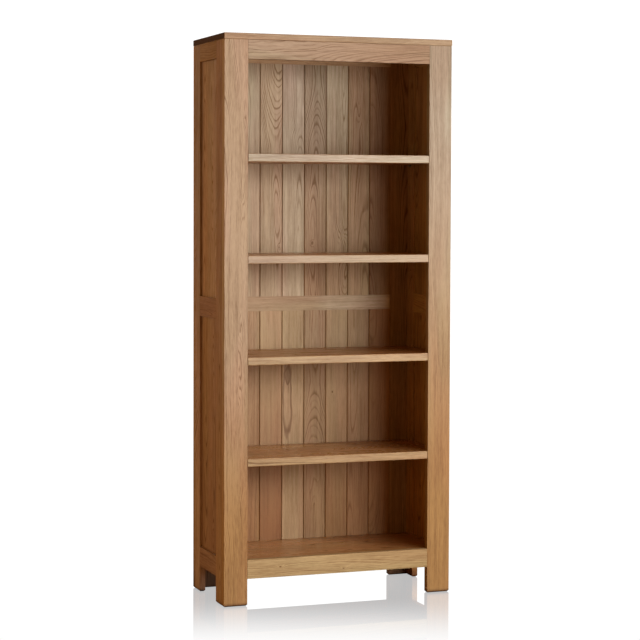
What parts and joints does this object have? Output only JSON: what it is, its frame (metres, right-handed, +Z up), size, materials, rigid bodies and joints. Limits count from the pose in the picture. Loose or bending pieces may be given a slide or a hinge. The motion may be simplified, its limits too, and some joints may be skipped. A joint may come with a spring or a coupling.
{
  "type": "bookcase with adjustable shelves",
  "caption": "Tall open oak bookcase with a frame-and-panel carcass, boarded back, fixed bottom shelf and loose shelves resting on pins.",
  "frame": {"origin": "on the floor, under the middle of the whole bookcase", "axes": "+Z up, +Y to the back of the bookcase, +X to the right of someone facing the open front"},
  "size_m": [0.774, 0.342, 1.8],
  "materials": {
    "oak_front": "satin lacquered pale oak",
    "oak_top": "satin lacquered oak with darker end grain",
    "oak_side": "satin lacquered oak",
    "oak_back": "satin lacquered oak boards of mixed tone",
    "oak_shelf": "satin lacquered oak",
    "pin_metal": "satin nickel plate"
  },
  "bodies": {
    "carcass": {"front_left_stile": "oak_front", "front_right_stile": "oak_front", "front_top_rail": "oak_front", "front_bottom_rail": "oak_front", "top_board": "oak_top", "left_front_side_stile": "oak_side", "left_rear_side_stile": "oak_side", "left_top_side_rail": "oak_side", "left_mid_side_rail": "oak_side", "left_bottom_side_rail": "oak_side", "left_upper_side_panel": "oak_side", "left_lower_side_panel": "oak_side", "right_front_side_stile": "oak_side", "right_rear_side_stile": "oak_side", "right_top_side_rail": "oak_side", "right_mid_side_rail": "oak_side", "right_bottom_side_rail": "oak_side", "right_upper_side_panel": "oak_side", "right_lower_side_panel": "oak_side", "back_left_stile": "oak_back", "back_right_stile": "oak_back", "back_top_rail": "oak_back", "back_mid_rail": "oak_back", "back_upper_board_1": "oak_back", "back_upper_board_2": "oak_back", "back_upper_board_3": "oak_back", "back_upper_board_4": "oak_back", "back_upper_board_5": "oak_back", "back_upper_board_6": "oak_back", "back_upper_board_7": "oak_back", "back_upper_board_8": "oak_back", "back_lower_board_1": "oak_back", "back_lower_board_2": "oak_back", "back_lower_board_3": "oak_back", "back_lower_board_4": "oak_back", "back_lower_board_5": "oak_back", "back_lower_board_6": "oak_back", "back_lower_board_7": "oak_back", "back_lower_board_8": "oak_back", "bottom_shelf": "oak_shelf"},
    "shelf_1": {"shelf_1": "oak_shelf"},
    "shelf_2": {"shelf_2": "oak_shelf"},
    "shelf_3": {"shelf_3": "oak_shelf"},
    "shelf_4": {"shelf_4": "oak_shelf"},
    "pin_1_front_left": {"pin_1_front_left": "pin_metal"},
    "pin_1_front_right": {"pin_1_front_right": "pin_metal"},
    "pin_1_rear_left": {"pin_1_rear_left": "pin_metal"},
    "pin_1_rear_right": {"pin_1_rear_right": "pin_metal"},
    "pin_2_front_left": {"pin_2_front_left": "pin_metal"},
    "pin_2_front_right": {"pin_2_front_right": "pin_metal"},
    "pin_2_rear_left": {"pin_2_rear_left": "pin_metal"},
    "pin_2_rear_right": {"pin_2_rear_right": "pin_metal"},
    "pin_3_front_left": {"pin_3_front_left": "pin_metal"},
    "pin_3_front_right": {"pin_3_front_right": "pin_metal"},
    "pin_3_rear_left": {"pin_3_rear_left": "pin_metal"},
    "pin_3_rear_right": {"pin_3_rear_right": "pin_metal"},
    "pin_4_front_left": {"pin_4_front_left": "pin_metal"},
    "pin_4_front_right": {"pin_4_front_right": "pin_metal"},
    "pin_4_rear_left": {"pin_4_rear_left": "pin_metal"},
    "pin_4_rear_right": {"pin_4_rear_right": "pin_metal"}
  },
  "joints": [
    {"name": "shelf_1_lift", "type": "slide", "parent": "carcass", "child": "shelf_1", "axis": [0, 0, 1], "range_m": [0, 0.28]},
    {"name": "shelf_2_lift", "type": "slide", "parent": "carcass", "child": "shelf_2", "axis": [0, 0, 1], "range_m": [0, 0.28]},
    {"name": "shelf_3_lift", "type": "slide", "parent": "carcass", "child": "shelf_3", "axis": [0, 0, 1], "range_m": [0, 0.28]},
    {"name": "shelf_4_lift", "type": "slide", "parent": "carcass", "child": "shelf_4", "axis": [0, 0, 1], "range_m": [0, 0.28]},
    {"name": "pin_1_front_left_pull", "type": "slide", "parent": "carcass", "child": "pin_1_front_left", "axis": [1, 0, 0], "range_m": [0, 0.012]},
    {"name": "pin_1_front_right_pull", "type": "slide", "parent": "carcass", "child": "pin_1_front_right", "axis": [-1, 0, 0], "range_m": [0, 0.012]},
    {"name": "pin_1_rear_left_pull", "type": "slide", "parent": "carcass", "child": "pin_1_rear_left", "axis": [1, 0, 0], "range_m": [0, 0.012]},
    {"name": "pin_1_rear_right_pull", "type": "slide", "parent": "carcass", "child": "pin_1_rear_right", "axis": [-1, 0, 0], "range_m": [0, 0.012]},
    {"name": "pin_2_front_left_pull", "type": "slide", "parent": "carcass", "child": "pin_2_front_left", "axis": [1, 0, 0], "range_m": [0, 0.012]},
    {"name": "pin_2_front_right_pull", "type": "slide", "parent": "carcass", "child": "pin_2_front_right", "axis": [-1, 0, 0], "range_m": [0, 0.012]},
    {"name": "pin_2_rear_left_pull", "type": "slide", "parent": "carcass", "child": "pin_2_rear_left", "axis": [1, 0, 0], "range_m": [0, 0.012]},
    {"name": "pin_2_rear_right_pull", "type": "slide", "parent": "carcass", "child": "pin_2_rear_right", "axis": [-1, 0, 0], "range_m": [0, 0.012]},
    {"name": "pin_3_front_left_pull", "type": "slide", "parent": "carcass", "child": "pin_3_front_left", "axis": [1, 0, 0], "range_m": [0, 0.012]},
    {"name": "pin_3_front_right_pull", "type": "slide", "parent": "carcass", "child": "pin_3_front_right", "axis": [-1, 0, 0], "range_m": [0, 0.012]},
    {"name": "pin_3_rear_left_pull", "type": "slide", "parent": "carcass", "child": "pin_3_rear_left", "axis": [1, 0, 0], "range_m": [0, 0.012]},
    {"name": "pin_3_rear_right_pull", "type": "slide", "parent": "carcass", "child": "pin_3_rear_right", "axis": [-1, 0, 0], "range_m": [0, 0.012]},
    {"name": "pin_4_front_left_pull", "type": "slide", "parent": "carcass", "child": "pin_4_front_left", "axis": [1, 0, 0], "range_m": [0, 0.012]},
    {"name": "pin_4_front_right_pull", "type": "slide", "parent": "carcass", "child": "pin_4_front_right", "axis": [-1, 0, 0], "range_m": [0, 0.012]},
    {"name": "pin_4_rear_left_pull", "type": "slide", "parent": "carcass", "child": "pin_4_rear_left", "axis": [1, 0, 0], "range_m": [0, 0.012]},
    {"name": "pin_4_rear_right_pull", "type": "slide", "parent": "carcass", "child": "pin_4_rear_right", "axis": [-1, 0, 0], "range_m": [0, 0.012]}
  ]
}
